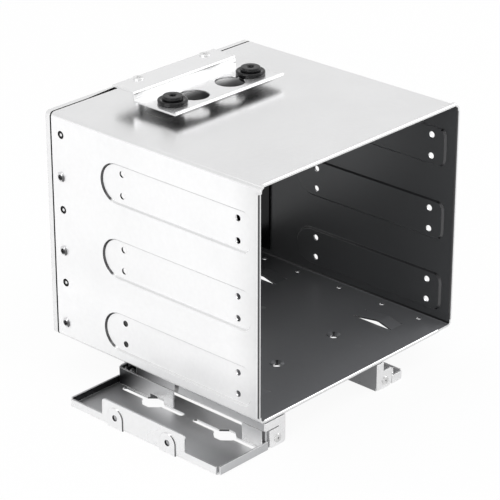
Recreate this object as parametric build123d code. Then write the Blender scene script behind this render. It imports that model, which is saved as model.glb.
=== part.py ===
from build123d import *
from math import atan, degrees
import os

# Driving dimensions of the cage, in millimetres. A cut runs past the faces that it opens.
sheet = 1.0
bend = 2.5
past = 1.0
clear_width = 146.6
pad_depth = 1.0
pad_slope = 0.9
pad_height = 22.0
pad_front = 6.5
pad_rear = 109.5
pad_front_radius = 5.0
bays = 3
bay_pitch = 41.5
depth = 145.0

# Screw holes of one bay: a pair at the front and a pair at the rear of each wall.
hole_radius = 1.7
hole_height = 10.3
hole_pair = 11.84
hole_front = 15.6
hole_span = 79.25

# Front edges, folded back on their outer faces.
hem_gap = 0.1
hem_depth = 2.2
hem_end = 3.5
floor_hem_depth = 4.0
floor_hem_right = 10.0

# Floor: raised bridges, dished holes and a row of small holes.
bridge_length = 26.0
bridge_width = 10.0
bridge_rise = 2.4
bridge_front_ramp = 9.0
bridge_rear_ramp = 15.0
bridge_slit = 0.7
bridge_side = 18.0
bridge_front = 18.4
bridge_spacing = 83.4
dish_radius = 3.8
dish_hole_radius = 2.0
dish_depth = 1.2
dish_spacing = 44.8
dish_front = 37.0
floor_hole_radius = 1.4
floor_hole_side = 6.6
floor_hole_rows = (16.4, 42.4, 73.1, 104.0, 129.2)

# Frame that closes the rear edge, with its screws and locating buttons.
rear_gap = 1.0
rear_rim = 3.0
rear_flange = 7.0
rear_opening_radius = 4.0
rear_tab_length = 15.0
rear_tab_end = 5.0
rear_tab_clearance = 0.15
fixing_inset = 6.8
button_height = 32.9
button_radius = 1.7
button_clearance = 0.45
button_step = 0.2
screw_height = 9.9
screw_radius = 1.4
screw_clearance = 0.2
screw_grip = 0.05
screw_head_radius = 2.7
screw_head_height = 1.7
screw_dome_radius = 4.0
screw_tip = 1.6
recess_length = 3.0
recess_width = 0.7
recess_depth = 0.8
rim_notch_length = 88.0
rim_notch_taper = 21.0
rim_notch_depth = 1.8

# Raised bracket on the top, with two rubber grommets.
bracket_centre = 70.6
shelf_length = 80.0
shelf_front = 85.4
shelf_height = 4.5
shelf_lip = 1.2
step_length = 75.0
step_back = 115.3
step_rise = 4.6
step_depth = 16.0
shelf_bend = 1.0
step_bend = 2.2
keyhole_radius = 8.0
keyhole_offset = 13.3
grommet_offset = 29.0
grommet_front = 98.9
grommet_seat_radius = 4.7
grommet_clearance = 0.1
grommet_neck_slot = 6.0
grommet_flange_radius = 7.9
grommet_flange_height = 2.3
grommet_cap_radius = 5.3
grommet_cap_height = 1.9
grommet_foot_radius = 6.2
grommet_foot_height = 1.8
grommet_bore_radius = 1.3
grommet_edge = 0.6
spacer_radius = 2.6
spacer_offset = 24.6
spacer_from_rear = 3.3
bracket_screw_radius = 1.5
bracket_screw_head_radius = 2.9
bracket_screw_head_height = 0.8
bracket_screw_edge = 0.3

# Hinged trays under the cage.
stand_height = 16.5
tray_length = 105.9
tray_wall = 4.5
tray_corner_gap = 1.6
tray_bend = 1.0
hinge_height = 12.5
ear_gap = 0.3
ear_radius = 4.2
ear_bend = 1.2
plate_corner = 2.0
hinge_to_floor_edge = 1.2
bracket_bend = 1.0

# Tubular hinge rivets.
rivet_radius = 1.5
rivet_running = 0.05
rivet_bore_radius = 0.5
rivet_head_radius = 2.4
rivet_head_height = 0.6
rivet_face_gap = 0.1
rivet_edge = 0.35

# Left tray and its bracket.
left_hinge = 13.0
left_web = 18.6
left_outer = 30.0
left_skirt = 3.6
left_skirt_height = 4.4
left_skirt_rear = 90.5
left_plate_height = 9.9
left_plate_slit = 0.8
left_plate_outer = 5.8
left_column = 4.7
left_wall_outer = 9.0
left_ear_shoulder = 2.5
left_wall_end = 7.2
inner_wall_height = 10.3
inner_wall_front = 16.0
inner_wall_rear = 41.6
skirt_notch_front = 59.2
skirt_notch_length = 4.3
skirt_notch_slope = 1.4
detent_side = 4.4
detent_rise = 3.8
detent_radius = 1.1
tab_front = 22.8
tab_length = 58.4
tab_height = 13.7
tab_corner = 2.0
boss_radius = 5.7
boss_step = 0.6
boss_slope = 0.5
boss_height = 5.7
boss_front = 34.4
boss_spacing = 37.2
boss_hole_radius = 1.5
key_side = 1.6
key_length = 44.0
key_width = 3.2
key_wide = 11.0
key_wide_flat = 4.4
key_wide_length = 13.2
key_wide_corner = 1.0
key_wide_side = -0.6
key_wide_shift = -0.6
key_front = 3.5
key_spacing = 51.0
key_wall_cut = 2.0

# Right tray and its bracket.
right_web = 89.5
right_hinge = 96.5
right_outer = 111.4
right_plate_outer = 4.8
right_plate_height = 10.0
right_column = 5.5
right_lobe = 5.4
right_lobe_corner = 3.0
right_wall_end = 5.7
right_ear_reach = 8.0
right_flange = 14.0
right_flange_length = 22.0
right_flange_end = 8.0

# Rivets that hold the brackets to the floor.
floor_rivet_radius = 1.5
floor_rivet_head_radius = 2.6
floor_rivet_head_height = 0.9
floor_rivet_inset = 7.0
floor_rivet_end = 16.0

# Worked out from the values above.
width = clear_width + 2 * (pad_depth + sheet)
height = bays * bay_pitch + 2 * sheet
middle = width / 2
hem = 2 * sheet + hem_gap
screw_line = depth - fixing_inset
shelf_top = height + shelf_height + sheet
step_top = shelf_top + step_rise
spacer_line = step_back + step_depth - spacer_from_rear
shelf_start = bracket_centre - shelf_length / 2
left_rivets = (floor_rivet_end, tray_length / 2, tray_length - floor_rivet_end)
right_rivets = (
    right_flange_end + right_flange_length / 2,
    tray_length - right_flange_end - right_flange_length / 2,
)
head_side = screw_head_height
x_low = -left_outer - boss_step
x_high = width + head_side
y_low = -rivet_head_height
y_high = depth + rear_gap + rear_rim
to_origin = Pos(-(x_low + x_high) / 2, -(y_low + y_high) / 2, stand_height)

# Drawing planes whose sketches are written as (X, Z), (Y, Z) and (X, Y).
front_plane = Plane(origin=(0, 0, 0), x_dir=(1, 0, 0), z_dir=(0, -1, 0))
side_plane = Plane(origin=(0, 0, 0), x_dir=(0, 1, 0), z_dir=(1, 0, 0))


def box(x0, x1, y0, y1, z0, z1):
    """Block between two opposite corners."""
    block = Box(x1 - x0, y1 - y0, z1 - z0, align=(Align.MIN, Align.MIN, Align.MIN))
    return Pos(x0, y0, z0) * block


def along_y(sketch, y0, y1):
    """Sketch in (X, Z) made solid from y0 back to y1."""
    return Pos(0, y0, 0) * extrude(front_plane * sketch, amount=y1 - y0, dir=(0, 1, 0))


def along_x(sketch, x0, x1):
    """Sketch in (Y, Z) made solid from x0 to x1."""
    return Pos(x0, 0, 0) * extrude(side_plane * sketch, amount=x1 - x0, dir=(1, 0, 0))


def along_z(sketch, z0, z1):
    """Sketch in (X, Y) made solid from z0 up to z1."""
    return Pos(0, 0, z0) * extrude(sketch, amount=z1 - z0, dir=(0, 0, 1))


def post(radius, x, y, z0, z1):
    """Upright round bar."""
    return Pos(x, y, (z0 + z1) / 2) * Cylinder(radius, z1 - z0)


def bar_x(radius, y, z, x0, x1):
    """Round bar across the cage."""
    return Pos((x0 + x1) / 2, y, z) * Rot(0, 90, 0) * Cylinder(radius, x1 - x0)


def bar_y(radius, x, z, y0, y1):
    """Round bar from front to rear."""
    return Pos(x, (y0 + y1) / 2, z) * Rot(90, 0, 0) * Cylinder(radius, y1 - y0)


def bent_sheet(points, radius):
    """Section of a sheet folded along a centre line, every fold with the same radius."""
    return trace(FilletPolyline(*points, radius=radius), line_width=sheet)


def mirrored(solid):
    """The same solid on the other side of the cage."""
    return mirror(solid, about=Plane(origin=(middle, 0, 0), z_dir=(1, 0, 0)))


def bay_holes():
    """Heights and depths of the four screw holes of every bay, on one wall."""
    return [
        (hole_front + column * hole_span, sheet + hole_height + bay * bay_pitch + row * hole_pair)
        for bay in range(bays)
        for row in range(2)
        for column in range(2)
    ]


def pad_outline():
    """Long pad: square front end with small corners, rear end a full half round."""
    run = pad_rear - pad_front - pad_height / 2
    front = Pos(pad_front + run / 2, 0) * RectangleRounded(run, pad_height, pad_front_radius)
    square = Pos(pad_front + 0.75 * run, 0) * Rectangle(run / 2, pad_height)
    return front + square + Pos(pad_front + run, 0) * Circle(pad_height / 2)


def raised_pad(bay):
    """Material that stands in from the wall, and the hollow that it leaves outside."""
    slope = degrees(atan(pad_slope / pad_depth))
    centre = sheet + hole_height + hole_pair / 2 + bay * bay_pitch
    outline = side_plane * (Pos(0, centre) * pad_outline())
    inner = extrude(Pos(sheet, 0, 0) * outline, amount=pad_depth, taper=slope)
    hollow = extrude(outline, amount=pad_depth, taper=slope)
    return inner, hollow


def side_hem():
    """Front edge of the left wall, folded back on its outer face with a round nose."""
    nose = Pos(sheet - hem / 2, hem / 2) * Circle(hem / 2)
    layer = Pos(sheet - hem, hem / 2) * Rectangle(sheet, hem_depth - hem / 2, align=(Align.MIN, Align.MIN))
    return along_z(nose + layer, hem_end, height - hem_end)


def top_hem():
    """Front edge of the top, folded back on its outer face with a round nose."""
    nose = Pos(hem / 2, height - sheet + hem / 2) * Circle(hem / 2)
    layer = Pos(hem / 2, height + hem_gap)
    layer = layer * Rectangle(hem_depth - hem / 2, sheet, align=(Align.MIN, Align.MIN))
    return along_x(nose + layer, bend, width - bend)


def floor_hem():
    """Front edge of the floor, folded back under it with a round nose."""
    nose = Pos(hem / 2, sheet - hem / 2) * Circle(hem / 2)
    layer = Pos(hem / 2, sheet - hem) * Rectangle(floor_hem_depth, sheet, align=(Align.MIN, Align.MIN))
    return along_x(nose + layer, hem_end, width - floor_hem_right)


def bridge(x0, y0):
    """Lanced strip of floor pushed up, steep at its front and gentle to the rear, and its opening."""
    length = bridge_length
    top = sheet + bridge_rise
    front = bridge_front_ramp
    rear = length - bridge_rear_ramp
    side = Polygon(
        (0, 0), (front, bridge_rise), (rear, bridge_rise), (length, 0),
        (length, sheet), (rear, top), (front, top), (0, sheet),
        align=None,
    )
    strip = along_x(Pos(y0, 0) * side, x0 + bridge_slit, x0 + bridge_width - bridge_slit)
    opening = box(x0, x0 + bridge_width, y0, y0 + length, -sheet, top + sheet)
    return strip, opening


def dish(x, y):
    """Hole pressed down into a dish, as for a countersunk screw."""
    outer = Polygon(
        (0, 0), (dish_radius + sheet * 0.7, 0), (dish_hole_radius + sheet, -dish_depth), (0, -dish_depth),
        align=None,
    )
    inner = Polygon(
        (0, sheet + past), (dish_radius, sheet + past), (dish_radius, sheet),
        (dish_hole_radius, sheet - dish_depth), (dish_hole_radius, -dish_depth - past), (0, -dish_depth - past),
        align=None,
    )
    turn = [revolve(front_plane * shape, Axis.Z) for shape in (outer, inner)]
    return [Pos(x, y, 0) * solid for solid in turn]


def cage_shell():
    """Folded tube of the cage: pads, holes, hems, floor bridges and dishes."""
    section = RectangleRounded(width, height, bend)
    section -= RectangleRounded(width - 2 * sheet, height - 2 * sheet, bend - sheet)
    shell = along_y(Pos(middle, height / 2) * section, 0, depth)

    cut = box(-past, sheet, -past, hem / 2, hem_end, height - hem_end)
    shell -= cut
    shell -= mirrored(cut)
    shell -= box(hem_end, width - floor_hem_right, -past, hem / 2, -past, sheet)
    shell -= box(bend, width - bend, -past, hem / 2, height - sheet, height + past)
    shell += side_hem()
    shell += mirrored(side_hem())
    shell += top_hem()
    shell += floor_hem()

    for bay in range(bays):
        inner, hollow = raised_pad(bay)
        for solid in (inner, mirrored(inner)):
            shell += solid
        for solid in (hollow, mirrored(hollow)):
            shell -= solid

    for y, z in bay_holes():
        shell -= bar_x(hole_radius, y, z, -past, width + past)

    for bay in range(bays):
        lift = bay * bay_pitch
        hole = button_radius + button_clearance
        shell -= bar_x(hole, screw_line, button_height + lift, -past, width + past)
        shell -= bar_x(screw_radius + screw_clearance, screw_line, screw_height + lift, -past, width + past)

    for x in (bridge_side, width - bridge_side - bridge_width):
        for y in (bridge_front, bridge_front + bridge_spacing):
            strip, opening = bridge(x, y)
            shell -= opening
            shell += strip

    for side in (-1, 1):
        outer, inner = dish(middle + side * dish_spacing / 2, dish_front)
        shell += outer
        shell -= inner

    for y in floor_hole_rows:
        shell -= post(floor_hole_radius, width - floor_hole_side, y, -past, sheet + past)

    for x in (-spacer_offset, spacer_offset):
        shell -= post(bracket_screw_radius, bracket_centre + x, spacer_line, height - sheet - past, height + past)

    for x, y in floor_rivet_places():
        shell -= post(floor_rivet_radius, x, y, -past, sheet + past)
    return shell


def rear_frame():
    """Frame at the rear edge: back plate, rim level with the walls, and two side tabs."""
    start = depth + rear_gap
    end = start + rear_rim
    outer = Pos(middle, height / 2) * RectangleRounded(width, height, bend)
    inside = Pos(middle, height / 2) * RectangleRounded(width - 2 * sheet, height - 2 * sheet, bend - sheet)
    tab_face = sheet + rear_tab_clearance
    border = tab_face + sheet + rear_flange
    opening = RectangleRounded(width - 2 * border, height - 2 * border, rear_opening_radius)

    rim = along_y(outer - inside, start, end)
    front = start - past
    notch = Polygon(
        (-rim_notch_length / 2, front), (-rim_notch_length / 2, start),
        (-rim_notch_length / 2 + rim_notch_taper, start + rim_notch_depth),
        (rim_notch_length / 2 - rim_notch_taper, start + rim_notch_depth),
        (rim_notch_length / 2, start), (rim_notch_length / 2, front),
        align=None,
    )
    rim -= along_z(Pos(bracket_centre, 0) * notch, height - 2 * sheet, height + past)
    frame = rim + along_y(outer - Pos(middle, height / 2) * opening, end - sheet, end)

    tab_section = bent_sheet(
        [(tab_face + sheet / 2, depth - rear_tab_length), (tab_face + sheet / 2, end - sheet / 2),
         (border, end - sheet / 2)],
        bracket_bend,
    )
    tab = along_z(tab_section, rear_tab_end, height - rear_tab_end)
    for bay in range(bays):
        lift = bay * bay_pitch
        tab += bar_x(button_radius, screw_line, button_height + lift, button_step, tab_face + sheet / 2)
        tab -= bar_x(screw_radius + screw_grip, screw_line, screw_height + lift, -past, border)
    return frame + tab + mirrored(tab)


def side_screw(z):
    """Round-head screw with a cross recess, its head against the left wall."""
    head = Pos(0, 0) * Circle(screw_head_radius)
    dome = Pos(screw_dome_radius - screw_head_height, screw_line, z) * Sphere(screw_dome_radius)
    blank = along_x(Pos(screw_line, z) * head, -screw_head_height, 0)
    solid = blank & dome
    solid += bar_x(screw_radius, screw_line, z, -0.2, 2 * sheet + rear_tab_clearance + screw_tip)
    for wide, tall in ((recess_length, recess_width), (recess_width, recess_length)):
        cross = Pos(screw_line, z) * Rectangle(wide, tall)
        solid -= along_x(cross, -screw_head_height - past, -screw_head_height + recess_depth)
    return solid


def side_screws():
    """The three screws of the left wall, one to each bay."""
    return [side_screw(screw_height + bay * bay_pitch) for bay in range(bays)]


def keyhole():
    """Opening of the shelf beside one grommet: a large hole and a neck into the grommet's seat."""
    neck = Pos((keyhole_offset + grommet_offset) / 2, 0)
    neck = neck * Rectangle(grommet_offset - keyhole_offset, grommet_neck_slot)
    return Pos(keyhole_offset, 0) * Circle(keyhole_radius) + neck + Pos(grommet_offset, 0) * Circle(
        grommet_seat_radius
    )


def top_bracket():
    """Folded bracket: shelf with an upturned lip, a step up, and a raised rear flange."""
    low = shelf_top - sheet / 2
    lip = [(shelf_front + sheet / 2, shelf_top + shelf_lip), (shelf_front + sheet / 2, low)]
    shelf = bent_sheet([*lip, (step_back - step_bend, low)], 0.7)
    riser = bent_sheet(
        [(step_back - step_bend - 0.01, low), (step_back + sheet / 2, low),
         (step_back + sheet / 2, step_top - sheet / 2), (step_back + step_depth, step_top - sheet / 2)],
        shelf_bend,
    )
    solid = along_x(shelf, shelf_start, shelf_start + shelf_length)
    solid += along_x(riser, shelf_start, shelf_start + step_length)
    cut = along_z(keyhole(), shelf_top - 2 * sheet, shelf_top + past)
    for turn in (0, 180):
        solid -= Pos(bracket_centre, grommet_front, 0) * Rot(0, 0, turn) * cut
    for x in (-spacer_offset, spacer_offset):
        solid -= post(bracket_screw_radius, bracket_centre + x, spacer_line, step_top - sheet - past, step_top + past)
    return solid


def grommet():
    """Rubber grommet turned about its bore: foot, groove for the shelf, flange and cap."""
    neck = grommet_seat_radius - grommet_clearance
    base = -sheet - grommet_foot_height
    flange = grommet_flange_height
    cap = flange + grommet_cap_height
    half = Polygon(
        (grommet_bore_radius, base), (grommet_foot_radius, base), (grommet_foot_radius, -sheet),
        (neck, -sheet), (neck, 0), (grommet_flange_radius, 0), (grommet_flange_radius, flange),
        (grommet_cap_radius + 0.5, flange), (grommet_cap_radius, cap), (grommet_bore_radius, cap),
        align=None,
    )
    tops = half.vertices().filter_by(lambda v: v.X > neck + grommet_edge and v.Y > flange - 0.01)
    return revolve(front_plane * chamfer(tops, grommet_edge), Axis.Z)


def grommet_at(side):
    """Grommet seated in the left (-1) or right (1) end of the shelf."""
    return Pos(bracket_centre + side * grommet_offset, grommet_front, shelf_top) * grommet()


def bracket_spacers():
    """Round spacers that carry the raised flange on the top of the cage."""
    return [
        post(spacer_radius, bracket_centre + x, spacer_line, height, step_top - sheet)
        - post(bracket_screw_radius, bracket_centre + x, spacer_line, height - past, step_top)
        for x in (-spacer_offset, spacer_offset)
    ]


def bracket_screws():
    """Low-head screws through the raised flange, the spacers and the top of the cage."""
    screws = []
    for x in (-spacer_offset, spacer_offset):
        place = (bracket_centre + x, spacer_line)
        head = post(bracket_screw_head_radius, *place, step_top, step_top + bracket_screw_head_height)
        head = chamfer(head.edges().filter_by(GeomType.CIRCLE).sort_by(Axis.Z)[-1], bracket_screw_edge)
        shank = bracket_screw_radius - screw_grip
        solid = head + post(shank, *place, height - sheet - 0.8, step_top + 0.1)
        for wide, tall in ((recess_length, recess_width), (recess_width, recess_length)):
            cross = Pos(*place) * Rectangle(wide, tall)
            solid -= along_z(cross, step_top + bracket_screw_head_height - 0.5, step_top + bracket_screw_head_height + past)
        screws.append(solid)
    return screws


def floor_rivet_places():
    """Rivets of both hinge brackets, as (X, Y) on the floor."""
    left = [(left_skirt + floor_rivet_inset, y) for y in left_rivets]
    right = [(right_web + floor_rivet_inset, y) for y in right_rivets]
    return left + right


def floor_rivet(x, y):
    """Rivet flush with the inside of the floor, with a domed head under the bracket."""
    dome = Polygon(
        (0, sheet), (floor_rivet_radius, sheet), (floor_rivet_radius, -sheet),
        (floor_rivet_head_radius, -sheet), (floor_rivet_head_radius * 0.7, -sheet - floor_rivet_head_height),
        (0, -sheet - floor_rivet_head_height),
        align=None,
    )
    return Pos(x, y, 0) * revolve(front_plane * dome, Axis.Z)


def both_ends(outline, inset):
    """Flat plate at both ends of a tray or bracket, one sheet thick, this far in from the end."""
    front = along_y(outline, inset, inset + sheet)
    rear = along_y(outline, tray_length - inset - sheet, tray_length - inset)
    return front + rear


def hinge_hole(x, radius):
    """Cut for the hinge rivets through both ends."""
    return bar_y(radius, x, -hinge_height, -past, tray_length + past)


def hem_room(x0, x1):
    """Room that a bracket leaves for the folded front edge of the floor."""
    return box(x0, x1, -past, hem / 2 + floor_hem_depth + ear_gap, -sheet - ear_gap, past)


def plate_outline(outer, hinge, inner, height):
    """End plate round the hinge, rounded below, between two distances from the hinge axis."""
    plate = Pos((hinge - outer + hinge + inner) / 2, height / 2 - stand_height)
    plate = plate * Rectangle(outer + inner, height)
    return fillet(plate.vertices().group_by(Axis.Y)[0], plate_corner)


def plate_above(x0, x1, height):
    """Stretch of an end plate from this height above the underside up to the floor."""
    low = height - stand_height
    return Pos((x0 + x1) / 2, low / 2) * Rectangle(x1 - x0, -low)


def left_bracket():
    """Folded channel under the floor: skirt, top, tall inner web and two end plates."""
    section = bent_sheet(
        [(left_skirt + sheet / 2, -sheet - left_skirt_height), (left_skirt + sheet / 2, -sheet / 2),
         (left_web - sheet / 2, -sheet / 2), (left_web - sheet / 2, -stand_height)],
        bracket_bend,
    )
    solid = along_y(section, sheet / 2, tray_length - sheet / 2)
    solid -= box(left_skirt - past, left_web - 2 * sheet, left_skirt_rear, tray_length, -stand_height, -sheet)
    plate = plate_outline(left_plate_outer, left_hinge, left_web - left_hinge, left_plate_height)
    column = plate_above(left_web - left_column, left_web, left_plate_height - plate_corner)
    upper = plate_above(left_skirt + sheet / 2, left_web, left_plate_height + left_plate_slit)
    solid += along_y(plate + column + upper, 0, sheet)
    solid += along_y(plate + column, tray_length - sheet, tray_length)
    solid -= hem_room(left_skirt - past, left_web + past)
    solid -= hinge_hole(left_hinge, rivet_radius)
    detent = (left_hinge - detent_side, -hinge_height + detent_rise)
    solid -= bar_y(detent_radius, *detent, tray_length / 2, tray_length + past)
    notch = Polygon(
        (0, -sheet), (skirt_notch_length, -sheet),
        (skirt_notch_length, -left_skirt_height - 2 * sheet),
        (skirt_notch_slope, -left_skirt_height - 2 * sheet),
        align=None,
    )
    solid -= along_x(Pos(skirt_notch_front, 0) * notch, left_skirt - past, left_skirt + sheet + 0.5)
    for x, y in floor_rivet_places()[:3]:
        solid -= post(floor_rivet_radius, x, y, -sheet - past, past)
    return solid


def slide_keyhole():
    """Long slot with a wide middle, for a screw head to drop in and lock either way."""
    slot = SlotOverall(key_length, key_width, rotation=90)
    flat = key_wide_flat / 2
    run = key_wide_length / 2
    half = key_wide / 2
    edge = key_width / 2
    wide = Polygon(
        (-edge, run), (-half, flat), (-half, -flat), (-edge, -run),
        (edge, -run), (half, -flat), (half, flat), (edge, run),
        align=None,
    )
    return slot + Pos(key_wide_side, key_wide_shift) * fillet(wide.vertices(), key_wide_corner)


def tray_boss(y):
    """Arched boss pressed out of the tray's tab, with the hollow behind it."""
    low = -stand_height
    arch = Circle(boss_radius) + Pos(0, -boss_height / 2) * Rectangle(2 * boss_radius, boss_height)
    place = Pos(y, low + boss_height)
    reach = boss_radius - boss_slope
    small = Circle(reach) + Pos(0, -boss_height / 2) * Rectangle(2 * reach, boss_height)
    proud = along_x(place * arch, -left_outer - boss_step, -left_outer)
    proud = chamfer(
        proud.faces().sort_by(Axis.X)[0].edges().filter_by(lambda e: e.center().Z > low + 0.1), boss_slope
    )
    hollow = along_x(place * small, -left_outer - boss_step + sheet, -left_outer + sheet)
    side = boss_radius + sheet
    hollow -= box(-left_outer - side, -left_outer + side, y - side, y + side, low - past, low + sheet)
    return proud, hollow


def inner_wall(y0, y1):
    """Wall beside the hinge, bent round at its outer end into the ear that holds the rivet."""
    low = -stand_height
    x = left_hinge - left_wall_outer + sheet / 2
    end = left_hinge + ear_radius
    path = FilletPolyline((x, y1), (x, y0), (end, y0), radius=ear_bend)
    solid = along_z(trace(path, line_width=sheet), low, low + inner_wall_height)
    start = left_hinge - left_wall_outer
    shoulder = left_hinge - left_ear_shoulder
    wall = Pos((start + shoulder) / 2, low + inner_wall_height / 2)
    wall = wall * Rectangle(shoulder - start, inner_wall_height)
    lobe = Pos(left_hinge, -hinge_height) * Circle(ear_radius)
    neck = Pos((x + left_hinge) / 2, -hinge_height) * Rectangle(left_hinge - x, 2 * hinge_to_low())
    shape = wall + lobe + neck
    return solid & along_y(shape, min(y0, y1) - past, max(y0, y1) + past)


def hinge_to_low():
    """Distance from the hinge axis down to the underside of the trays."""
    return stand_height - hinge_height


def left_tray():
    """Shallow pan with an ear at each end of its inner wall and a tall tab on its outer wall."""
    low = -stand_height
    floor_top = low + sheet
    inset = sheet + ear_gap
    wall_end = left_hinge - left_wall_end
    rear = tray_length - inset
    solid = box(-left_outer, wall_end, 0, tray_length, low, floor_top)
    solid += box(-left_outer, left_hinge + hinge_to_floor_edge, inset, rear, low, floor_top)
    solid += box(-left_outer, -left_outer + sheet, 0, tray_length, low, low + tray_wall)
    tab_outline = Pos(tab_front + tab_length / 2, low + tab_height / 2) * Rectangle(tab_length, tab_height)
    tab_outline = fillet(tab_outline.vertices().group_by(Axis.Y)[-1], tab_corner)
    solid += along_x(tab_outline, -left_outer, -left_outer + sheet)
    low_wall = Pos((wall_end - left_outer) / 2, low + tray_wall / 2)
    solid += both_ends(low_wall * Rectangle(wall_end + left_outer, tray_wall), 0)
    solid += inner_wall(inset + sheet / 2, inner_wall_front)
    solid += inner_wall(rear - sheet / 2, tray_length - inner_wall_rear)

    gap = tray_corner_gap
    for y in (-past, tray_length - gap):
        solid -= box(-left_outer - past, -left_outer + gap, y, y + past + gap, low - past, 0)
    long_edges = solid.edges().filter_by(Axis.Y).filter_by(
        lambda e: abs(e.center().X + left_outer) < 0.01 and abs(e.center().Z - low) < 0.01
    )
    solid = fillet(long_edges, tray_bend)

    for step in range(2):
        y = boss_front + step * boss_spacing
        proud, hollow = tray_boss(y)
        solid += proud
        solid -= hollow
        solid -= bar_x(boss_hole_radius, y, low + boss_height, -left_outer - boss_step - past, -left_outer + sheet + past)
    for start in (key_front, key_front + key_spacing):
        middle_of_slot = Pos(key_side, start + key_length / 2)
        solid -= along_z(middle_of_slot * slide_keyhole(), low - past, floor_top + key_wall_cut)
    solid -= hinge_hole(left_hinge, rivet_radius + rivet_running)
    solid -= bar_y(detent_radius, left_hinge - detent_side, -hinge_height + detent_rise, -past, tray_length + past)
    return solid


def hinge_rivet(x, front):
    """Tubular rivet: head on the bracket's end plate, tail spread behind the tray's ear."""
    bore = rivet_bore_radius
    tail = 2 * sheet + ear_gap + rivet_face_gap
    half = Polygon(
        (bore, -rivet_head_height), (rivet_head_radius - rivet_edge, -rivet_head_height),
        (rivet_head_radius, -rivet_head_height + rivet_edge), (rivet_head_radius, 0),
        (rivet_radius, 0), (rivet_radius, tail), (rivet_head_radius, tail),
        (rivet_head_radius - rivet_edge, tail + rivet_head_height), (bore, tail + rivet_head_height),
        align=None,
    )
    solid = revolve(Plane.XY * half, Axis.Y)
    if front:
        return Pos(x, 0, -hinge_height) * solid
    return Pos(x, tray_length, -hinge_height) * Rot(0, 0, 180) * solid


def right_bracket():
    """Angle under the floor: tall web, two fixing flanges and two narrow end plates."""
    low = -stand_height
    section = bent_sheet(
        [(right_web + right_flange, -sheet / 2), (right_web + sheet / 2, -sheet / 2),
         (right_web + sheet / 2, low)],
        bracket_bend,
    )
    solid = along_y(section, sheet / 2, tray_length - sheet / 2)
    inner = right_web + 2 * sheet
    outer = right_web + right_flange + past
    flange_end = right_flange_end + right_flange_length
    for a, b in ((-past, right_flange_end), (flange_end, tray_length - flange_end),
                 (tray_length - right_flange_end, tray_length + past)):
        solid -= box(inner, outer, a, b, -2 * sheet, past)
    plate = plate_outline(right_hinge - right_web, right_hinge, right_plate_outer, right_plate_height)
    column = plate_above(right_web, right_web + right_column, right_plate_height - plate_corner)
    rise = low + right_plate_height + hinge_height
    lobe = Pos(right_hinge + right_lobe / 2, rise / 2 - hinge_height) * Rectangle(right_lobe, rise)
    lobe = fillet(lobe.vertices().group_by(Axis.X)[-1].sort_by(Axis.Y)[-1], right_lobe_corner)
    lobe += Pos(right_hinge, -hinge_height) * Circle(right_lobe)
    lobe -= Pos(right_hinge, low) * Rectangle(3 * right_lobe, right_lobe, align=(Align.CENTER, Align.MAX))
    solid += both_ends(plate + column + lobe, 0)
    solid -= hem_room(right_web - past, outer)
    solid -= hinge_hole(right_hinge, rivet_radius)
    for x, y in floor_rivet_places()[3:]:
        solid -= post(floor_rivet_radius, x, y, -sheet - past, past)
    return solid


def right_tray():
    """Narrow pan with an ear standing up inside each end plate of its bracket."""
    low = -stand_height
    floor_top = low + sheet
    inset = sheet + ear_gap
    wall_end = right_hinge + right_wall_end
    solid = box(wall_end, right_outer, 0, tray_length, low, floor_top)
    solid += box(right_hinge - hinge_to_floor_edge, right_outer, inset, tray_length - inset, low, floor_top)
    solid += box(right_outer - sheet, right_outer, 0, tray_length, low, low + tray_wall)
    low_wall = Pos((wall_end + right_outer) / 2, low + tray_wall / 2)
    solid += both_ends(low_wall * Rectangle(right_outer - wall_end, tray_wall), 0)
    lobe = Pos(right_hinge, -hinge_height) * Circle(ear_radius)
    neck = Pos(right_hinge + right_ear_reach / 2, -hinge_height)
    neck = neck * Rectangle(right_ear_reach, 2 * hinge_to_low())
    solid += both_ends(lobe + neck, inset)
    gap = tray_corner_gap
    for y in (-past, tray_length - gap):
        solid -= box(right_outer - gap, right_outer + past, y, y + past + gap, low - past, 0)
    long_edges = solid.edges().filter_by(Axis.Y).filter_by(
        lambda e: abs(e.center().X - right_outer) < 0.01 and abs(e.center().Z - low) < 0.01
    )
    solid = fillet(long_edges, tray_bend)
    solid -= hinge_hole(right_hinge, rivet_radius + rivet_running)
    return solid


def write(name, solids):
    """Move one node to the part's origin and write it."""
    group = solids if isinstance(solids, list) else [solids]
    placed = [piece for solid in group for piece in (to_origin * solid).solids()]
    shape = placed[0] if len(placed) == 1 else Compound(children=placed)
    export_step(shape, f"parts/{name}.step")


os.makedirs("parts", exist_ok=True)
rivets = [floor_rivet(x, y) for x, y in floor_rivet_places()]
write("cage_shell", cage_shell())
write("rear_frame", rear_frame())
write("rear_screws_left", side_screws())
write("rear_screws_right", [mirrored(screw) for screw in side_screws()])
write("top_bracket", top_bracket())
write("grommet_left", grommet_at(-1))
write("grommet_right", grommet_at(1))
write("bracket_spacers", bracket_spacers())
write("bracket_screws", bracket_screws())
write("left_hinge_bracket", left_bracket())
write("left_tray", left_tray())
write("left_front_rivet", hinge_rivet(left_hinge, True))
write("left_rear_rivet", hinge_rivet(left_hinge, False))
write("left_bracket_rivets", rivets[:3])
write("right_hinge_bracket", right_bracket())
write("right_tray", right_tray())
write("right_front_rivet", hinge_rivet(right_hinge, True))
write("right_rear_rivet", hinge_rivet(right_hinge, False))
write("right_bracket_rivets", rivets[3:])
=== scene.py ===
import math

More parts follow.
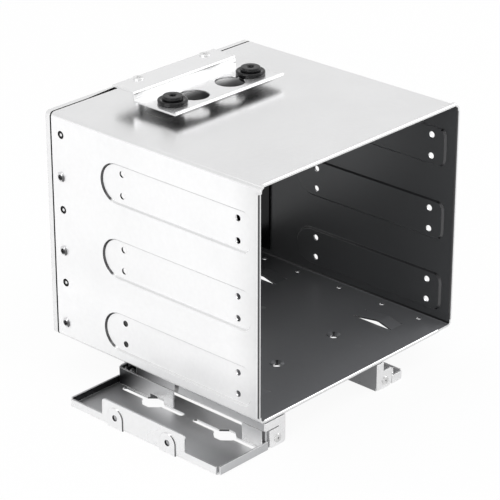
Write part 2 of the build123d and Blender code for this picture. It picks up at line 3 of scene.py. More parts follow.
import bpy
import numpy as np
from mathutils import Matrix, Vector


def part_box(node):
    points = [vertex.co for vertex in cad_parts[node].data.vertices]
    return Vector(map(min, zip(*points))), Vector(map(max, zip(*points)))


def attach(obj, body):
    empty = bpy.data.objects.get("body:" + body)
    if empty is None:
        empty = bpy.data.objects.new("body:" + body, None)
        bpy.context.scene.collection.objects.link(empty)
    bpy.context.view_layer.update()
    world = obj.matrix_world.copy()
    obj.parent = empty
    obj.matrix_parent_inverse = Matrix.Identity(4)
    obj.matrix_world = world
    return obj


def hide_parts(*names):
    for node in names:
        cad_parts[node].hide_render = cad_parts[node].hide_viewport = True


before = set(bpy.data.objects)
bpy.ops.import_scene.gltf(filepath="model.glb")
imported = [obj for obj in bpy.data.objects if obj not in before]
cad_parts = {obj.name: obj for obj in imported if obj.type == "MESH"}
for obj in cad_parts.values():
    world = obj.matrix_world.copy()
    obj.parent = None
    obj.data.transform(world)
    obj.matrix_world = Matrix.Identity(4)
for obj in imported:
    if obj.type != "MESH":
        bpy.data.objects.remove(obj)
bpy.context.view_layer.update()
scene = bpy.context.scene
scene.view_settings.view_transform = "Standard"

# The camera. A long lens looks down on the cage's open front from its left,
# from where the photograph was taken.
aim = Vector((-0.0214, -0.0308, 0.0844))
camera_distance = 1.15
camera_azimuth = math.radians(-47.11)
camera_elevation = math.radians(24.51)
camera_data = bpy.data.cameras.new("camera")
camera_data.sensor_width = 36.0
camera_data.lens = 164.64
camera_data.clip_end = 20.0
camera = bpy.data.objects.new("camera", camera_data)
scene.collection.objects.link(camera)
toward_camera = Vector((
    math.sin(camera_azimuth) * math.cos(camera_elevation),
    -math.cos(camera_azimuth) * math.cos(camera_elevation),
    math.sin(camera_elevation),
))
camera.location = aim + camera_distance * toward_camera
camera.rotation_euler = toward_camera.to_track_quat("Z", "Y").to_euler()
scene.camera = camera


# The studio. The cage stands on white paper under a white surround whose ceiling is a little
# greyer, and three soft lamps light it from the left, the top and the right.
floor_half = 6.0
paper_colour = (0.94, 0.94, 0.94)
paper_glow_seen = 0.93
paper_glow_gloss = 0.4
plain_white = (1.0, 1.0, 1.0)
fill_colour = (0.74, 0.74, 0.74)
ceiling_rise = (0.12, 0.36)
ceiling_share = 0.8
lamp_aim = Vector((0, 0, 0.08))


def new_material(name):
    """Empty node material with its output, as (material, node tree, output)."""
    material = bpy.data.materials.new(name)
    material.use_nodes = True
    tree = material.node_tree
    tree.nodes.clear()
    return material, tree, tree.nodes.new("ShaderNodeOutputMaterial")


def feed(tree, socket, value):
    """Give an input a number, a constant vector or colour, or the output of another node."""
    if isinstance(value, tuple):
        socket.default_value = (*value, 1) if len(socket.default_value) == 4 else value
    elif isinstance(value, (int, float)):
        socket.default_value = value
    else:
        tree.links.new(value, socket)


def math_node(tree, operation, first, second=None):
    """Math node on sockets or numbers, as its output."""
    node = tree.nodes.new("ShaderNodeMath")
    node.operation = operation
    feed(tree, node.inputs[0], first)
    if second is not None:
        feed(tree, node.inputs[1], second)
    return node.outputs[0]


def chained(tree, operation, values):
    """Math node on the first two values, another on its result and the third, and so on."""
    total = values[0]
    for value in values[1:]:
        total = math_node(tree, operation, total, value)
    return total


def product(tree, *values):
    """Product of sockets or numbers."""
    return chained(tree, "MULTIPLY", values)


def highest(tree, *values):
    """The highest of sockets or numbers."""
    return chained(tree, "MAXIMUM", values)


def band(tree, value, low, high, to_low=0.0, to_high=1.0):
    """Value carried smoothly from the range low..high to the range to_low..to_high."""
    node = tree.nodes.new("ShaderNodeMapRange")
    node.interpolation_type = "SMOOTHSTEP"
    node.inputs["From Min"].default_value = low
    node.inputs["From Max"].default_value = high
    node.inputs["To Min"].default_value = to_low
    node.inputs["To Max"].default_value = to_high
    tree.links.new(value, node.inputs["Value"])
    return node.outputs["Result"]


def split(tree, vector):
    """The three parts of a vector socket."""
    node = tree.nodes.new("ShaderNodeSeparateXYZ")
    tree.links.new(vector, node.inputs[0])
    return node.outputs["X"], node.outputs["Y"], node.outputs["Z"]


def shader_mix(tree, share, first, second):
    """Shader between the outputs of two nodes, by a share from 0 to 1."""
    mix = tree.nodes.new("ShaderNodeMixShader")
    tree.links.new(share, mix.inputs["Fac"])
    tree.links.new(first.outputs[0], mix.inputs[1])
    tree.links.new(second.outputs[0], mix.inputs[2])
    return mix.outputs[0]


def flat_panel(name, corners, material):
    """Stage panel of one face with these four corners, seen from their anticlockwise side."""
    mesh = bpy.data.meshes.new(name)
    mesh.from_pydata(corners, [], [(0, 1, 2, 3)])
    mesh.materials.append(material)
    panel = bpy.data.objects.new(name, mesh)
    scene.collection.objects.link(panel)


def studio_paper():
    """White paper: a diffuse sheet that keeps the shadow, with a share of plain white glow
    for the camera and for gloss and glass."""
    material, tree, output = new_material("studio_paper")
    paper = tree.nodes.new("ShaderNodeBsdfDiffuse")
    feed(tree, paper.inputs["Color"], paper_colour)
    glow = tree.nodes.new("ShaderNodeEmission")
    feed(tree, glow.inputs["Color"], plain_white)
    path = tree.nodes.new("ShaderNodeLightPath")
    mirrored = highest(tree, path.outputs["Is Glossy Ray"], path.outputs["Is Transmission Ray"])
    share = highest(tree, product(tree, path.outputs["Is Camera Ray"], paper_glow_seen),
                    product(tree, mirrored, paper_glow_gloss))
    tree.links.new(shader_mix(tree, share, paper, glow), output.inputs["Surface"])
    return material


def white_surround():
    """World that fills matt surfaces with an even grey light. The camera, gloss and glass see
    white instead, which fades to ceiling_share as the view rises through ceiling_rise."""
    world = bpy.data.worlds.new("studio")
    world.use_nodes = True
    tree = world.node_tree
    tree.nodes.clear()
    fill = tree.nodes.new("ShaderNodeBackground")
    feed(tree, fill.inputs["Color"], fill_colour)
    white = tree.nodes.new("ShaderNodeBackground")
    feed(tree, white.inputs["Color"], plain_white)
    _, _, rise = split(tree, tree.nodes.new("ShaderNodeTexCoord").outputs["Generated"])
    feed(tree, white.inputs["Strength"], band(tree, rise, *ceiling_rise, to_low=1.0, to_high=ceiling_share))
    path = tree.nodes.new("ShaderNodeLightPath")
    seen = highest(tree, path.outputs["Is Camera Ray"], path.outputs["Is Glossy Ray"],
                   path.outputs["Is Transmission Ray"])
    output = tree.nodes.new("ShaderNodeOutputWorld")
    tree.links.new(shader_mix(tree, seen, fill, white), output.inputs["Surface"])
    return world


def soft_lamp(name, place, size, power):
    """Square area lamp turned to the middle of the cage."""
    data = bpy.data.lights.new(name, "AREA")
    data.shape = "SQUARE"
    data.size = size
    data.energy = power
    lamp = bpy.data.objects.new(name, data)
    scene.collection.objects.link(lamp)
    lamp.location = place
    lamp.rotation_euler = (Vector(place) - lamp_aim).to_track_quat("Z", "Y").to_euler()


floor_corners = [(-floor_half, -floor_half, 0), (floor_half, -floor_half, 0),
                 (floor_half, floor_half, 0), (-floor_half, floor_half, 0)]
flat_panel("paper_floor", floor_corners, studio_paper())
scene.world = white_surround()
soft_lamp("left_lamp", place=(-1.3, 0.0, 0.75), size=1.0, power=6.4)
soft_lamp("top_lamp", place=(0.2, 0.2, 1.4), size=1.0, power=2.2)
soft_lamp("right_lamp", place=(0.95, -0.5, 0.85), size=0.7, power=3.0)


# The cage shell: one tube folded from 1 mm zinc-plated sheet. The outside is pale and satin.
# The inside has painted shade, palest on the floor, and cut edges are painted bright as worn zinc and as a
# highlight.
zinc_colour = (0.93, 0.93, 0.935)
# Painted shade inside the tube: dark walls, a paler floor, darker still to the rear.
zinc_inside_shade_colour = (0.098, 0.101, 0.105)
zinc_inside_floor_shade_colour = (0.30, 0.305, 0.32)
zinc_inside_rear_shade_colour = (0.04, 0.041, 0.043)
# Painted shade on faces that look down.
zinc_underside_shade_colour = (0.42, 0.42, 0.43)
# Cut edges: worn zinc and a painted highlight.
zinc_edge_wear_and_highlight_colour = (0.96, 0.96, 0.96)
zinc_roughness = 0.25
zinc_inside_roughness = 0.36
zinc_side_metal_share = 0.42
zinc_low_side_metal_share = 0.10
zinc_inside_metal_share = 0.4
grain_along_y = (1, 0.04, 1)
edge_radius = 0.00035
edge_samples = 6
edge_turn = (0.995, 0.86)
mostly_up = (0.6, 0.9)
mostly_down = (-0.5, -0.8)
mostly_minus = (-0.6, -0.9)


def shaded(colour, share):
    """Constant colour times a share."""
    return tuple(share * part for part in colour)


def mix_colours(tree, share, first, second):
    """Colour or number between two, each a constant or a socket, by a share from 0 to 1.
    It mixes numbers where one of the two is a plain number."""
    node = tree.nodes.new("ShaderNodeMix")
    number = isinstance(first, (int, float)) or isinstance(second, (int, float))
    node.data_type = "FLOAT" if number else "RGBA"
    tree.links.new(share, node.inputs["Factor"])
    for slot, value in ((2, first), (3, second)) if number else ((6, first), (7, second)):
        feed(tree, node.inputs[slot], value)
    return node.outputs[0 if number else 2]


def rest_of(tree, share):
    """What a share leaves of 1."""
    return math_node(tree, "SUBTRACT", 1.0, share)


def apart(tree, value, at):
    """How far a socket's value is from a number, to either side."""
    return math_node(tree, "ABSOLUTE", math_node(tree, "SUBTRACT", value, at))


def beside(tree, value, edge, start, full):
    """Share that goes from 0 at edge + start to 1 at edge + full."""
    return band(tree, value, edge + start, edge + full)


def noise(tree, place, scale, detail, stretch=(1, 1, 1)):
    """Noise on Object coordinates, stretched along the axes, from 0 to 1."""
    mapping = tree.nodes.new("ShaderNodeMapping")
    feed(tree, mapping.inputs["Scale"], stretch)
    tree.links.new(place, mapping.inputs["Vector"])
    node = tree.nodes.new("ShaderNodeTexNoise")
    node.inputs["Scale"].default_value = scale
    node.inputs["Detail"].default_value = detail
    tree.links.new(mapping.outputs[0], node.inputs["Vector"])
    return node.outputs["Fac"]


def vector_node(tree, operation, first, second=None):
    """Vector math node on sockets or constant vectors."""
    node = tree.nodes.new("ShaderNodeVectorMath")
    node.operation = operation
    feed(tree, node.inputs[0], first)
    if second is not None:
        feed(tree, node.inputs[1], second)
    return node


def distance(tree, first, first_at, second, second_at):
    """Distance in a plane from the point (first_at, second_at)."""
    across = math_node(tree, "SUBTRACT", first, first_at)
    up = math_node(tree, "SUBTRACT", second, second_at)
    squares = math_node(tree, "ADD", product(tree, across, across), product(tree, up, up))
    return math_node(tree, "SQRT", squares)


def flat_normal(tree):
    """The normal in the object's own coordinates, which turn with a part that swings."""
    geometry = tree.nodes.new("ShaderNodeNewGeometry")
    turned = tree.nodes.new("ShaderNodeVectorTransform")
    turned.vector_type = "NORMAL"
    turned.convert_from = "WORLD"
    turned.convert_to = "OBJECT"
    tree.links.new(geometry.outputs["Normal"], turned.inputs[0])
    return turned.outputs[0]


def rounded_normal(tree):
    """The normal as if each edge were rounded by edge_radius."""
    node = tree.nodes.new("ShaderNodeBevel")
    node.samples = edge_samples
    node.inputs["Radius"].default_value = edge_radius
    return node.outputs[0]


def edge_share(tree, rounded):
    """Share of a cut edge or fold: 1 where the rounded normal leaves the flat one. The range
    edge_turn is the cosine of the angle between them."""
    flat = tree.nodes.new("ShaderNodeNewGeometry").outputs["Normal"]
    return band(tree, vector_node(tree, "DOT_PRODUCT", rounded, flat).outputs["Value"], *edge_turn)


def inward_share(tree, place, low, high):
    """1 on faces that look towards the middle of the box low..high, 0 on faces that look out."""
    middle = tuple((first + last) / 2 for first, last in zip(low, high))
    away = vector_node(tree, "SUBTRACT", middle, place)
    unit = vector_node(tree, "NORMALIZE", away.outputs[0])
    facing = vector_node(tree, "DOT_PRODUCT", unit.outputs[0], flat_normal(tree))
    return band(tree, facing.outputs["Value"], 0.12, 0.3)


def fold_share(tree, normal):
    """1 on slopes and rounded folds between a side and the front: |x| and -y of the normal
    both large."""
    side, front, _ = split(tree, normal)
    ahead = math_node(tree, "MULTIPLY", front, -1.0)
    aside = math_node(tree, "ABSOLUTE", side)
    return product(tree, band(tree, ahead, 0.22, 0.34), band(tree, aside, 0.28, 0.42))


def bumped(tree, height, strength, reach, normal=None):
    """Normal of a surface whose relief follows height and reaches this many metres."""
    bump = tree.nodes.new("ShaderNodeBump")
    bump.inputs["Strength"].default_value = strength
    bump.inputs["Distance"].default_value = reach
    tree.links.new(height, bump.inputs["Height"])
    if normal is not None:
        tree.links.new(normal, bump.inputs["Normal"])
    return bump.outputs[0]


def surface(tree, output, colour, rough, normal, metal=0.0):
    """Principled shader of this colour, roughness, normal and share of metal, on the output."""
    shader = tree.nodes.new("ShaderNodeBsdfPrincipled")
    feed(tree, shader.inputs["Base Color"], colour)
    feed(tree, shader.inputs["Roughness"], rough)
    feed(tree, shader.inputs["Metallic"], metal)
    feed(tree, shader.inputs["Normal"], normal)
    tree.links.new(shader.outputs[0], output.inputs["Surface"])
    return shader


def rolled_zinc(name, colour, roughness, grain=grain_along_y, metal=1.0, paint=None):
    """Satin zinc plate: faint clouds of crystals, rolling grain and cut edges painted bright as wear and
    highlight.

    Colour = the part's own colour, as its paint function changes it with painted shade by where
    a face is and looks, x (1 + clouds), mixed at edges to the edge colour of worn zinc with a
    painted highlight. Bump = fine noise stretched along the rolling direction.
    """
    material, tree, output = new_material(name)
    place = tree.nodes.new("ShaderNodeTexCoord").outputs["Object"]
    clouds = noise(tree, place, scale=30.0, detail=3.0)
    specks = noise(tree, place, scale=420.0, detail=2.0)
    rolled = noise(tree, place, scale=2600.0, detail=3.0, stretch=grain)
    tone = math_node(tree, "ADD", band(tree, clouds, 0.3, 0.7, to_low=0.985, to_high=1.01),
                     band(tree, specks, 0.25, 0.75, to_low=-0.012, to_high=0.012))
    rough = band(tree, clouds, 0.25, 0.75, to_low=roughness - 0.015, to_high=roughness + 0.02)
    rounded = rounded_normal(tree)
    edge = edge_share(tree, rounded)
    plate = colour
    if paint is not None:
        plate, edge, rough, metal = paint(tree, place, plate, edge, rough, metal)
    tinted = vector_node(tree, "SCALE", plate)
    feed(tree, tinted.inputs["Scale"], tone)
    # Edges are painted bright: worn zinc and a painted highlight.
    worn_and_highlit = product(tree, edge, band(tree, specks, 0.2, 0.6, to_low=0.6, to_high=1.0))
    worn_and_highlit_plate = mix_colours(tree, worn_and_highlit, tinted.outputs[0], zinc_edge_wear_and_highlight_colour)
    normal = bumped(tree, rolled, strength=0.04, reach=0.00003, normal=rounded)
    surface(tree, output, worn_and_highlit_plate, rough, normal, metal)
    return material


def finish_node(node, material):
    """Give a node of the frame this material."""
    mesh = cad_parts[node].data
    mesh.materials.clear()
    mesh.materials.append(material)


cage_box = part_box("cage_shell")
cage_middle_x = (cage_box[0][0] + cage_box[1][0]) / 2
cage_half_width = (cage_box[1][0] - cage_box[0][0]) / 2
shelf_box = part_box("top_bracket")
shelf_depth = 0.026
shelf_shadow_colour = (0.05, 0.05, 0.052)
shelf_shadow_roughness = 0.30
shelf_shadow_metal_share = 0.8
shelf_shadow_soft = 0.005
# Painted shade on the sides near the front edge.
front_wall_shade_share = 0.88
front_wall_reach = (0.022, 0.002)
low_side_reach = (0.055, 0.025)
# Painted shade: the inside walls darken to this share of their colour at the rear.
inside_rear_shade_share = 0.5
# Painted shade on folds, slopes and holes, and how strong it is on the shell's folds.
fold_and_hole_shade_colour = (0.03, 0.03, 0.032)
fold_shade_share = 0.94
# Painted shade, near black, in the inside corners and on the rear holes' walls.
corner_and_bore_shade_colour = (0.012, 0.012, 0.013)
# Share of the bright edge paint, worn zinc and painted highlight, that the inside keeps.
inside_edge_share = 0.15
rear_hole_line = 0.02065
rear_hole_reach = (0.003, 0.0025)


def shelf_shadow_share(tree, upright, x, y, z):
    """1 on the cage's top under the shelf of the top bracket, fading at the shelf's edges."""
    top = cage_box[1][2]
    (left, front, _), (right, _, _) = shelf_box
    soft = shelf_shadow_soft
    return product(
        tree, band(tree, upright, *mostly_up), beside(tree, z, top, -0.002, -0.001),
        beside(tree, x, left, -0.5 * soft, 1.5 * soft), beside(tree, x, right, soft, -soft),
        beside(tree, y, front, 1.3 * soft, 2.2 * soft),
        beside(tree, y, front + shelf_depth, soft, -soft))


def rear_hole_share(tree, across, x, y, z):
    """1 on the walls of the holes in the rear column of the pads, in both side walls, where dark shade is
    painted.
    """
    bottom, top = cage_box[0][2], cage_box[1][2]
    return product(
        tree, band(tree, math_node(tree, "ABSOLUTE", across), 0.3, 0.15),
        beside(tree, apart(tree, x, cage_middle_x), cage_half_width, -0.003, -0.0026),
        band(tree, apart(tree, y, rear_hole_line), *rear_hole_reach),
        beside(tree, z, bottom, 0.005, 0.006), beside(tree, z, top, -0.005, -0.006))


def paint_shell(tree, place, plate, edge, rough, metal):
    """Outside: painted shade near the front edge and underneath, a painted shadow under the
    shelf, and dark painted shade in the folds and slopes that face the front and in the rear
    holes. The sides are less like metal, least of all low down. Inside: painted shade, dark on
    the walls, paler on the floor, both darker to the rear and near black where they meet."""
    (_, front, bottom), (_, rear, _) = cage_box
    normal = flat_normal(tree)
    across, _, upright = split(tree, normal)
    x, y, z = split(tree, place)
    side = band(tree, math_node(tree, "ABSOLUTE", upright), 0.5, 0.2)
    # Painted shade on the sides near the front edge.
    near_front = beside(tree, y, front, *front_wall_reach)
    front_shade = shaded(zinc_colour, front_wall_shade_share)
    plate = mix_colours(tree, product(tree, near_front, side), plate, front_shade)
    # Painted shade on faces that look down.
    plate = mix_colours(tree, band(tree, upright, *mostly_down), plate, zinc_underside_shade_colour)
    under_shelf = shelf_shadow_share(tree, upright, x, y, z)
    plate = mix_colours(tree, under_shelf, plate, shelf_shadow_colour)

    # Painted shade inside, darker to the rear.
    inner = inward_share(tree, place, *cage_box)
    deep = beside(tree, y, front, 0.35 * (rear - front), 0.95 * (rear - front))
    floor = mix_colours(tree, deep, zinc_inside_floor_shade_colour, zinc_inside_rear_shade_colour)
    wall = mix_colours(tree, deep, zinc_inside_shade_colour, shaded(zinc_inside_shade_colour, inside_rear_shade_share))
    inside = mix_colours(tree, band(tree, upright, 0.3, 0.8), wall, floor)
    # Painted shade, near black, where the inside walls meet the floor.
    corner_shade = product(tree, band(tree, upright, 0.12, 0.25), band(tree, upright, 0.9, 0.7))
    inside = mix_colours(tree, corner_shade, inside, corner_and_bore_shade_colour)
    plate = mix_colours(tree, inner, plate, inside)

    # Painted shade on folds and slopes that face the front.
    fold = fold_share(tree, normal)
    plate = mix_colours(tree, product(tree, fold, fold_shade_share), plate, fold_and_hole_shade_colour)
    # Painted shade on the walls of the rear holes.
    bore_shade = rear_hole_share(tree, across, x, y, z)
    plate = mix_colours(tree, bore_shade, plate, corner_and_bore_shade_colour)
    # Inside edges keep little of the bright edge paint, and folds and rear holes keep none.
    outer = highest(tree, rest_of(tree, inner), inside_edge_share)
    edge = product(tree, edge, outer, rest_of(tree, highest(tree, fold, bore_shade)))

    rough = mix_colours(tree, inner, rough, zinc_inside_roughness)
    rough = mix_colours(tree, under_shelf, rough, shelf_shadow_roughness)
    low_side = beside(tree, z, bottom, *low_side_reach)
    side_metal = band(tree, low_side, 0.0, 1.0, to_low=zinc_side_metal_share,
                      to_high=zinc_low_side_metal_share)
    metal = mix_colours(tree, side, metal, side_metal)
    metal = mix_colours(tree, inner, metal, zinc_inside_metal_share)
    metal = mix_colours(tree, under_shelf, metal, shelf_shadow_metal_share)
    return plate, edge, rough, metal


finish_node("cage_shell", rolled_zinc("shell_zinc", zinc_colour, zinc_roughness, paint=paint_shell))

# The rear frame: a plate with a rim level with the walls and tabs inside them, held on
# each side by three round-head screws and three buttons.
frame_colour = (0.88, 0.88, 0.885)
# Painted shade, near black, inside the frame.
frame_inside_shade_colour = (0.008, 0.008, 0.009)
frame_metal_share = 0.7
# Painted shade on the buttons' rims in the wall's holes.
stud_rim_shade_colour = (0.012, 0.012, 0.013)
stud_bright_radius = 0.0008
stud_rows = (0.0494, 0.0909, 0.1324)
stud_line = 0.0640
screw_colour = (0.86, 0.86, 0.87)
screw_roughness = 0.24
screw_rows = (0.0264, 0.0679, 0.1094)
# Share of painted shade on the side screws' slopes that face the front.
screw_slope_shade = 0.85
recess_reach = 0.00150
recess_top = 0.00136
recess_soft = 0.00003
# Painted shade in the side screws' cross recesses.
recess_shade_colour = (0.08, 0.08, 0.082)


def paint_frame(tree, place, plate, edge, rough, metal):
    """Inside: painted shade, near black. The buttons in the wall's holes: painted shade but for their
    middles.
    """
    rear = cage_box[1][1]
    x, y, z = split(tree, place)
    inner = inward_share(tree, place, *cage_box)
    near_wall = beside(tree, apart(tree, x, cage_middle_x), cage_half_width, -0.0026, -0.0022)
    rims = product(tree, near_wall, beside(tree, y, rear, 0.0, -0.0004))
    for row in stud_rows:
        from_stud = distance(tree, y, stud_line, z, row)
        rims = product(tree, rims, beside(tree, from_stud, stud_bright_radius, -0.0003, 0.0002))
    plate = mix_colours(tree, inner, plate, frame_inside_shade_colour)
    plate = mix_colours(tree, rims, plate, stud_rim_shade_colour)
    return plate, product(tree, edge, rest_of(tree, highest(tree, inner, rims))), rough, metal


frame_zinc = rolled_zinc("frame_zinc", frame_colour, zinc_roughness,
                         metal=frame_metal_share, paint=paint_frame)
finish_node("rear_frame", frame_zinc)


def bright_plate(name, colour, roughness, slope_shade=0.0, dark_share=None):
    """Bright nickel-like plate on small turned parts, with faint clouds, a fine grain and
    rounded edges. Slopes that face the front and a side get painted shade by a given share,
    and painted shade fills the plate where the function dark_share(tree, place) is 1."""
    material, tree, output = new_material(name)
    place = tree.nodes.new("ShaderNodeTexCoord").outputs["Object"]
    clouds = noise(tree, place, scale=240.0, detail=3.0)
    plated = mix_colours(tree, band(tree, clouds, 0.35, 0.7), colour, shaded(colour, 0.85))
    # Painted shade on slopes that face the front and a side.
    if slope_shade:
        slopes = fold_share(tree, flat_normal(tree))
        plated = mix_colours(tree, product(tree, slopes, slope_shade), plated, fold_and_hole_shade_colour)
    # Painted shade where dark_share is 1.
    if dark_share is not None:
        plated = mix_colours(tree, dark_share(tree, place), plated, recess_shade_colour)
    rough = band(tree, clouds, 0.3, 0.7, to_low=roughness - 0.04, to_high=roughness + 0.08)
    grain = noise(tree, place, scale=3200.0, detail=2.0)
    normal = bumped(tree, grain, strength=0.08, reach=0.00003, normal=rounded_normal(tree))
    surface(tree, output, plated, rough, normal, metal=1.0)
    return material


def recess_share(tree, place):
    """1 in the cross recesses of the side screws: near a screw's axis and below its dome."""
    x, y, z = split(tree, place)
    near_axis = highest(tree, *(
        beside(tree, distance(tree, y, stud_line, z, row), recess_reach, 0.0001, 0.0)
        for row in screw_rows
    ))
    below_dome = beside(tree, apart(tree, x, cage_middle_x), cage_half_width + recess_top,
                        recess_soft, -recess_soft)
    return product(tree, near_axis, below_dome)


screw_plate = bright_plate("screw_plate", screw_colour, screw_roughness, screw_slope_shade, recess_share)
finish_node("rear_screws_left", screw_plate)
finish_node("rear_screws_right", screw_plate)

# The top bracket: one strip of brighter plate, folded to a shelf and a raised flange, with
# two low-head screws that clamp the flange on round spacers.
grain_along_x = (0.04, 1, 1)
bracket_colour = (0.93, 0.93, 0.935)
# Painted shade on the bracket's faces that look down.
bracket_underside_shade_colour = (0.02, 0.02, 0.021)
bracket_roughness = 0.24
bracket_metal_share = 0.85
low_screw_colour = (0.9, 0.9, 0.9)
low_screw_roughness = 0.34


def paint_bracket(tree, place, plate, edge, rough, metal):
    """Painted shade where a face looks down on the cage."""
    _, _, upright = split(tree, flat_normal(tree))
    underside = band(tree, upright, *mostly_down)
    return mix_colours(tree, underside, plate, bracket_underside_shade_colour), edge, rough, metal


bracket_zinc = rolled_zinc("bracket_zinc", bracket_colour, bracket_roughness, grain_along_x,
                           metal=bracket_metal_share, paint=paint_bracket)
finish_node("top_bracket", bracket_zinc)
finish_node("bracket_spacers", bracket_zinc)
finish_node("bracket_screws", bright_plate("low_screw_plate", low_screw_colour, low_screw_roughness))

# The grommets: black rubber, moulded in one piece and pressed into the shelf's two necks. A
# flange lies on the shelf, with a stepped cap above it, a waist in the sheet and a foot below.
rubber_colour = (0.007, 0.007, 0.0075)
rubber_bloom_colour = (0.012, 0.012, 0.013)
rubber_roughness = (0.07, 0.12)
rubber_refraction = 1.38
rubber_sides = 128
grommet_outline = np.array((
    (1.3, -2.8), (1.6, 3.6), (2.2, 4.2), (5.25, 4.2), (5.4, 2.6), (5.0, 2.15), (6.1, 2.15), (6.5, 2.3),
    (7.85, 2.3), (7.85, 0.0), (4.6, 0.0), (4.6, -1.0), (6.2, -1.0), (6.2, -2.8),
)) / 1000
grommet_rounding = np.array((
    0.2, 0.3, 0.3, 0.5, 0.25, 0.12, 0.12, 0.15, 1.0, 0.9, 0.05, 0.05, 0.4, 0.5,
)) / 1000
grommet_top = grommet_outline[:, 1].max()


def rounded_outline(corners, cuts, steps=7):
    """Closed outline whose corners are rounded: on each corner a quadratic curve runs from the
    point one cut before it, pulled by the corner, to the point one cut after it."""
    before = np.roll(corners, 1, axis=0) - corners
    after = np.roll(corners, -1, axis=0) - corners
    start = corners + cuts[:, None] * before / np.linalg.norm(before, axis=1, keepdims=True)
    end = corners + cuts[:, None] * after / np.linalg.norm(after, axis=1, keepdims=True)
    along = np.linspace(0, 1, steps)[None, :, None]
    curve = ((1 - along) ** 2 * start[:, None] + 2 * along * (1 - along) * corners[:, None]
             + along ** 2 * end[:, None])
    return curve.reshape(-1, 2)


def turned_piece(name, outline, centre, sides, material):
    """Ring-shaped surface: each outline point (radius, height) goes round the upright axis at
    centre, at (centre x + radius cos turn, centre y + radius sin turn, centre z + height)."""
    turn = np.linspace(0, 2 * np.pi, sides, endpoint=False)[:, None]
    radius, height = outline[:, 0][None], outline[:, 1][None]
    points = np.stack((centre[0] + radius * np.cos(turn), centre[1] + radius * np.sin(turn),
                       centre[2] + height + 0 * turn), axis=-1).reshape(-1, 3)
    rows = len(outline)
    side, row = np.meshgrid(np.arange(sides), np.arange(rows), indexing="ij")
    next_side, next_row = (side + 1) % sides, (row + 1) % rows
    faces = np.stack((side * rows + row, side * rows + next_row, next_side * rows + next_row,
                      next_side * rows + row), axis=-1).reshape(-1, 4)
    mesh = bpy.data.meshes.new(name)
    mesh.from_pydata(points.tolist(), [], faces.tolist())
    mesh.polygons.foreach_set("use_smooth", np.ones(len(faces), dtype=bool))
    mesh.materials.append(material)
    piece = bpy.data.objects.new(name, mesh)
    scene.collection.objects.link(piece)
    return piece


def moulded_rubber(name):
    """Black rubber with a soft sheen, faint bloom and a fine moulded grain."""
    material, tree, output = new_material(name)
    place = tree.nodes.new("ShaderNodeTexCoord").outputs["Object"]
    bloom = noise(tree, place, scale=300.0, detail=4.0)
    colour = mix_colours(tree, band(tree, bloom, 0.4, 0.75), rubber_colour, rubber_bloom_colour)
    rough = band(tree, bloom, 0.3, 0.7, *rubber_roughness)
    grain = noise(tree, place, scale=2400.0, detail=3.0)
    shader = surface(tree, output, colour, rough, bumped(tree, grain, strength=0.05, reach=0.00002))
    shader.inputs["IOR"].default_value = rubber_refraction
    return material


rubber = moulded_rubber("grommet_rubber")
rubber_outline = rounded_outline(grommet_outline, grommet_rounding)
for node in ("grommet_left", "grommet_right"):
    low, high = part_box(node)
    middle = ((low[0] + high[0]) / 2, (low[1] + high[1]) / 2, high[2] - grommet_top)
    grommet = turned_piece(node + "_rubber", rubber_outline, middle, rubber_sides, rubber)
    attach(grommet, "cage")
    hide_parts(node)

# The wide tray at the left and the channel bracket that it hinges on, under the floor,
# with the two tubular rivets that it turns on.
tray_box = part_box("left_tray")
tray_colour = (0.92, 0.92, 0.925)
# Painted shade on the tray: its floor, front, front lip, rear floor and rear wall.
tray_floor_shade_colour = (0.50, 0.505, 0.515)
tray_front_shade_colour = (0.30, 0.303, 0.31)
tray_lip_shade_colour = (0.55, 0.555, 0.565)
tray_rear_floor_shade_colour = (0.40, 0.402, 0.41)
tray_rear_shade_colour = (0.05, 0.051, 0.054)
tray_roughness = 0.28
tray_floor_roughness = 0.42
tray_metal_share = 0.95
tray_front_reach = (0.034, 0.004)
tray_lip_reach = (0.004, 0.003)
tray_rear_floor_reach = (-0.030, -0.004)
tray_rear_wall_reach = (-0.006, -0.003)
tray_inner_floor_reach = (-0.032, -0.014)
tray_inner_floor_share = 0.8
tray_inner_wall_reach = (-0.016, -0.014)
tray_inner_rear_reach = (-0.036, -0.002)
tray_outer_wall_reach = (0.004, 0.003)
# Painted shade on the tray's folds and slopes that face the front.
tray_fold_shade_share = 0.9
boss_holes = ((-0.0398, 0.0057), (-0.0026, 0.0057))
boss_hole_reach = 0.0017
boss_hole_soft = 0.0001
channel_corner_reach = (-0.048, -0.010)
rivet_colour = (0.8, 0.8, 0.8)
rivet_roughness = 0.26


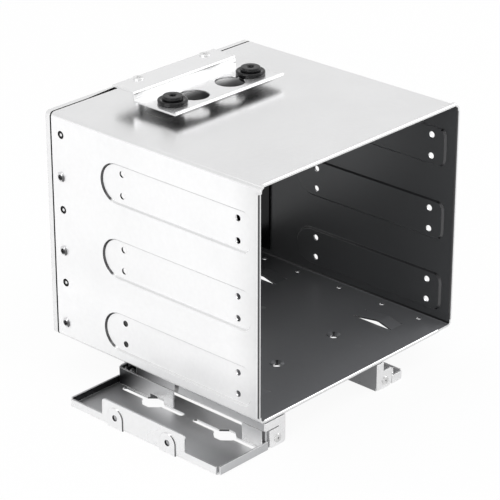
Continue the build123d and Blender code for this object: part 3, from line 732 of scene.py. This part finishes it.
def paint_tray(tree, place, plate, edge, rough, metal):
    """Painted shade: the floor's upper side is darker and rougher than the walls, darker still
    to the front and the rear and paler to the inner side, and the front lip is grey. The rear
    wall, the inner wall's rear end, the folds and slopes that face the front and the bosses'
    holes get dark painted shade."""
    (left, front, _), (right, rear, _) = tray_box
    normal = flat_normal(tree)
    side, ahead, upright = split(tree, normal)
    x, y, z = split(tree, place)
    upper = band(tree, upright, *mostly_up)
    near_front = beside(tree, y, front, *tray_front_reach)
    floor = mix_colours(tree, near_front, tray_floor_shade_colour, tray_front_shade_colour)
    inner_side = beside(tree, x, right, *tray_inner_floor_reach)
    floor = mix_colours(tree, product(tree, inner_side, tray_inner_floor_share), floor, tray_colour)
    near_rear = beside(tree, y, rear, *tray_rear_floor_reach)
    floor = mix_colours(tree, near_rear, floor, tray_rear_floor_shade_colour)
    plate = mix_colours(tree, upper, plate, floor)

    to_front = band(tree, ahead, *mostly_minus)
    lip = product(tree, to_front, beside(tree, y, front, *tray_lip_reach))
    plate = mix_colours(tree, lip, plate, tray_lip_shade_colour)
    inner_rear = product(tree, band(tree, side, *mostly_minus),
                         beside(tree, x, right, *tray_inner_wall_reach),
                         beside(tree, y, rear, *tray_inner_rear_reach))
    plate = mix_colours(tree, inner_rear, plate, tray_rear_shade_colour)
    rear_wall = product(tree, to_front, beside(tree, y, rear, *tray_rear_wall_reach))
    plate = mix_colours(tree, rear_wall, plate, tray_rear_shade_colour)
    fold = fold_share(tree, normal)
    plate = mix_colours(tree, product(tree, fold, tray_fold_shade_share), plate, fold_and_hole_shade_colour)

    in_holes = highest(tree, *(
        beside(tree, distance(tree, y, hole_y, z, hole_z), boss_hole_reach, boss_hole_soft, -boss_hole_soft)
        for hole_y, hole_z in boss_holes
    ))
    holes = product(tree, in_holes, beside(tree, x, left, *tray_outer_wall_reach))
    plate = mix_colours(tree, holes, plate, fold_and_hole_shade_colour)
    edge = product(tree, edge, rest_of(tree, highest(tree, fold, holes, rear_wall)))
    return plate, edge, mix_colours(tree, upper, rough, tray_floor_roughness), metal


def paint_channel(tree, place, plate, edge, rough, metal):
    """Painted shade on the channel's side in the corner where it meets the tray's rear wall."""
    rear = tray_box[1][1]
    side, _, _ = split(tree, flat_normal(tree))
    _, y, _ = split(tree, place)
    corner = product(tree, band(tree, side, *mostly_minus),
                     beside(tree, y, rear, *channel_corner_reach))
    return mix_colours(tree, corner, plate, tray_rear_shade_colour), edge, rough, metal


def paint_floor_rivet(tree, place, plate, edge, rough, metal):
    """Heads in the cage's floor get the same painted shade as the floor round them."""
    _, _, upright = split(tree, flat_normal(tree))
    upper = band(tree, upright, 0.3, 0.6)
    plate = mix_colours(tree, upper, plate, zinc_inside_floor_shade_colour)
    metal = mix_colours(tree, upper, metal, zinc_inside_metal_share)
    return plate, product(tree, edge, rest_of(tree, upper)), rough, metal


tray_zinc = rolled_zinc("tray_zinc", tray_colour, tray_roughness, grain_along_x,
                        metal=tray_metal_share, paint=paint_tray)
plate_zinc = rolled_zinc("plate_zinc", tray_colour, tray_roughness,
                         metal=tray_metal_share, paint=paint_channel)
rivet_plate = bright_plate("rivet_plate", rivet_colour, rivet_roughness)
finish_node("left_hinge_bracket", plate_zinc)
finish_node("left_tray", tray_zinc)
for node in ("left_front_rivet", "left_rear_rivet"):
    finish_node(node, rivet_plate)
floor_rivet_zinc = rolled_zinc("floor_rivet_zinc", tray_colour, tray_roughness, paint=paint_floor_rivet)
finish_node("left_bracket_rivets", floor_rivet_zinc)

# The narrow tray at the right, on its angle bracket, with two tubular rivets of its own.
# The bracket's side that looks under the cage gets painted shade.
# Painted shade on the angle bracket's side under the cage.
angle_side_shade_colour = (0.30, 0.303, 0.31)


def paint_angle(tree, place, plate, edge, rough, metal):
    """Painted shade on faces that look to the left, under the cage."""
    side, _, _ = split(tree, flat_normal(tree))
    side_shade = band(tree, side, *mostly_minus)
    return mix_colours(tree, side_shade, plate, angle_side_shade_colour), edge, rough, metal


angle_zinc = rolled_zinc("angle_zinc", tray_colour, tray_roughness,
                         metal=tray_metal_share, paint=paint_angle)
finish_node("right_hinge_bracket", angle_zinc)
right_tray_zinc = rolled_zinc("right_tray_zinc", tray_colour, tray_roughness, grain_along_x,
                              metal=tray_metal_share)
finish_node("right_tray", right_tray_zinc)
for node in ("right_front_rivet", "right_rear_rivet"):
    finish_node(node, rivet_plate)
finish_node("right_bracket_rivets", floor_rivet_zinc)
